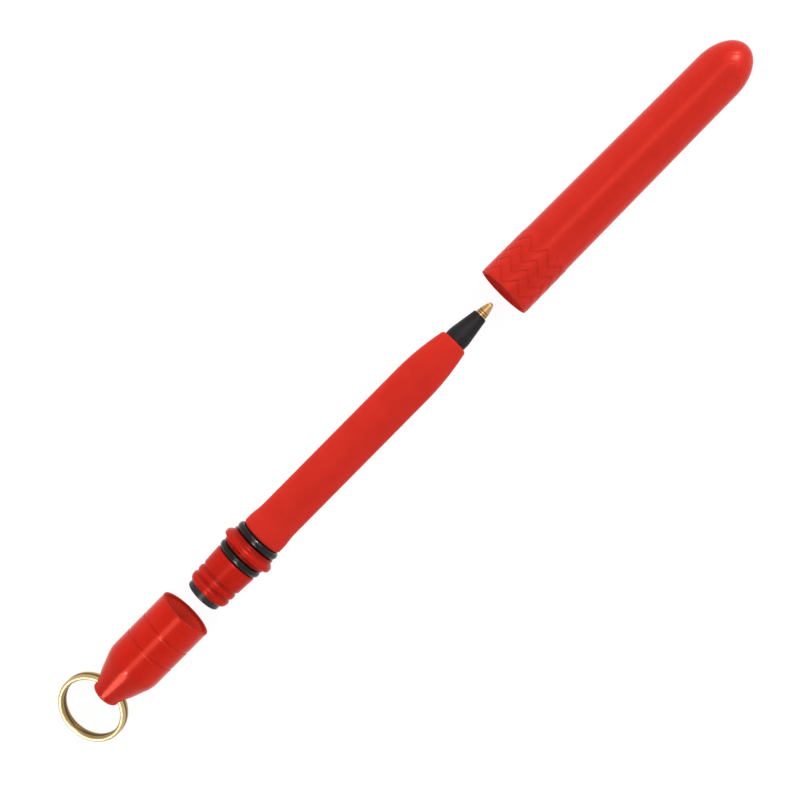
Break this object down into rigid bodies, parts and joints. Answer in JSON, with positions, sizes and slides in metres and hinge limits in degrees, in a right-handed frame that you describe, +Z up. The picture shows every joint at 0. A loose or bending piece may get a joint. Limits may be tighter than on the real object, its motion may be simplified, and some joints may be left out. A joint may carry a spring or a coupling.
{
  "type": "pocket pen",
  "caption": "Pocket ballpoint pen with a long domed cap, a ringed collar between two O-rings, a matt grip sleeve and an end cap that carries a split key ring.",
  "frame": {"origin": "middle of the layout of pen, cap and end cap, on the surface that they lie on", "axes": "+X along the pen towards the writing tip and the cap, +Z up"},
  "size_m": [0.2091, 0.016, 0.013],
  "materials": {
    "gloss_red": "glossy moulded plastic",
    "matt_red": "matt soft-touch",
    "satin_red": "satin moulded plastic",
    "black_rubber": "smooth rubber",
    "black_plastic": "glossy moulded plastic",
    "clear_plastic": "translucent tube",
    "ink": "thick ink",
    "brass": "turned",
    "ball_metal": "polished",
    "gold_wire": "plated wire, polished"
  },
  "bodies": {
    "pen_body": {"barrel": "gloss_red", "grip_sleeve": "matt_red", "front_o_ring": "black_rubber", "rear_o_ring": "black_rubber", "nose_cone": "black_plastic", "tail_plug": "black_plastic", "ink_tube": "clear_plastic", "ink": "ink", "point_tip": "brass"},
    "cap": {"cap": "satin_red"},
    "end_cap": {"end_cap": "gloss_red"},
    "split_ring": {"split_ring": "gold_wire"},
    "writing_ball": {"writing_ball": "ball_metal"}
  },
  "joints": [
    {"name": "cap_slide", "type": "slide", "parent": "pen_body", "child": "cap", "axis": [-1, 0, 0], "range_m": [0, 0.0769]},
    {"name": "end_cap_slide", "type": "slide", "parent": "pen_body", "child": "end_cap", "axis": [1, 0, 0], "range_m": [0, 0.01825]},
    {"name": "ring_swing", "type": "hinge", "parent": "end_cap", "child": "split_ring", "pos_m": [-0.09023, 0, 0.00651], "axis": [0, 1, 0], "range_deg": [-85, 125]},
    {"name": "ball_roll", "type": "hinge", "parent": "pen_body", "child": "writing_ball", "pos_m": [0.02622, 0, 0.00651], "axis": [0, 1, 0], "continuous": true}
  ]
}
